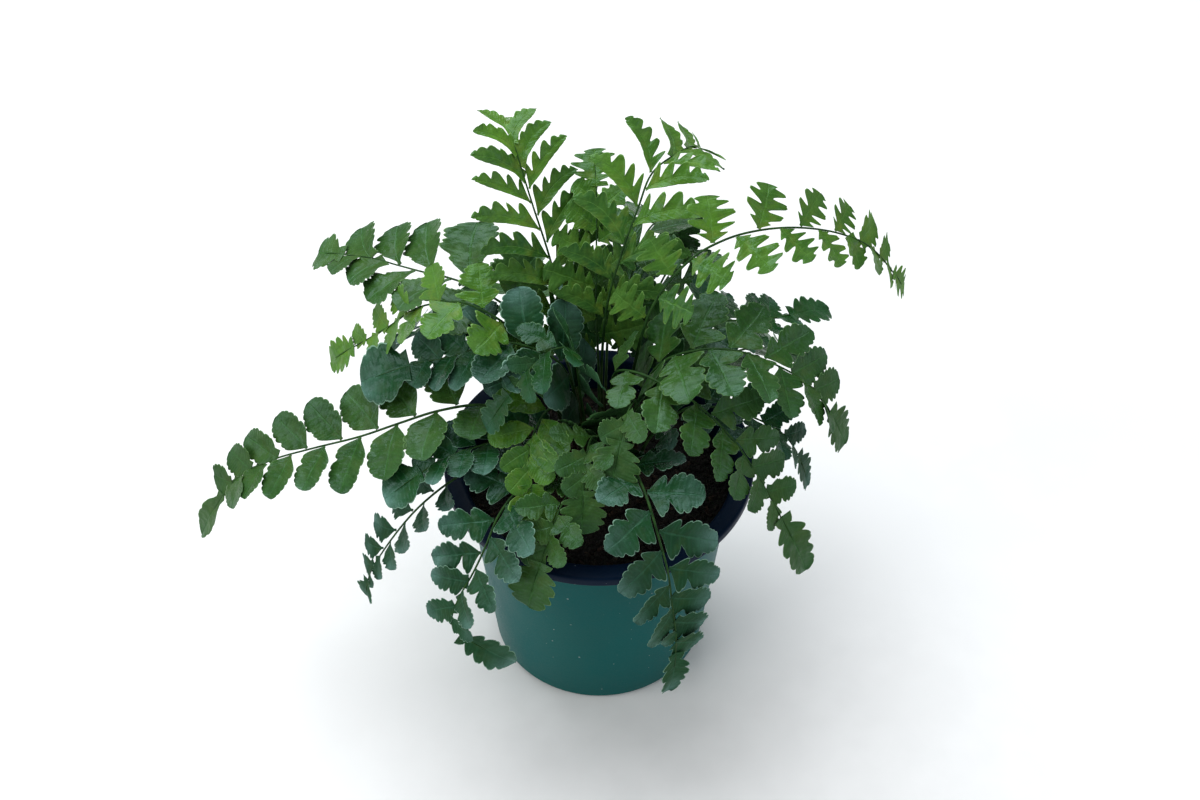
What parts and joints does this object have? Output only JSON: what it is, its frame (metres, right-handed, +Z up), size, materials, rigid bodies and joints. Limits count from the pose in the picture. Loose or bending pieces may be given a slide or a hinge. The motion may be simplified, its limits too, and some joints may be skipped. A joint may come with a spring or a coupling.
{
  "type": "potted fern",
  "caption": "Spleenwort fern with arching, lobed fronds that spill over a tapered round nursery pot filled with soil.",
  "frame": {"origin": "middle of the pot's flat underside", "axes": "+Z up the pot's axis; -Y is the side the plant is looked at from, with the two fronds that hang over the rim; +X is that viewer's right"},
  "size_m": [0.2911, 0.2029, 0.2327],
  "materials": {
    "pot_plastic": "satin dark teal",
    "soil_mix": "moist crumbly potting mix",
    "crown_scales": "rough brown scales",
    "frond_light": "fresh yellow-green leaf, satin",
    "frond_mid": "mid green leaf, satin",
    "frond_dark": "dark green leaf, satin",
    "frond_blue": "blue-green leaf, satin"
  },
  "bodies": {
    "root": {"pot": "pot_plastic", "soil": "soil_mix", "crown": "crown_scales", "frond_tall_back_left": "frond_light", "frond_tall_back_right": "frond_light", "frond_long_right": "frond_light", "frond_middle_right": "frond_mid", "frond_shaded_right": "frond_dark", "frond_arching_front_right": "frond_mid", "frond_over_front_right": "frond_blue", "frond_over_front_left": "frond_blue", "frond_trailing_left": "frond_blue", "frond_long_left": "frond_mid", "frond_upper_left": "frond_mid", "frond_middle_left": "frond_blue", "frond_young_left": "frond_light", "frond_lower_left": "frond_blue", "frond_centre_front": "frond_light", "frond_centre_right": "frond_mid", "frond_centre_left": "frond_dark", "frond_centre_low": "frond_mid", "frond_short_front": "frond_mid", "frond_low_right": "frond_blue", "frond_back_upright": "frond_light", "frond_back_middle": "frond_mid", "frond_back_right_low": "frond_mid", "frond_back_right": "frond_mid", "frond_back": "frond_dark", "frond_back_left": "frond_mid", "frond_back_left_low": "frond_blue"}
  },
  "joints": []
}
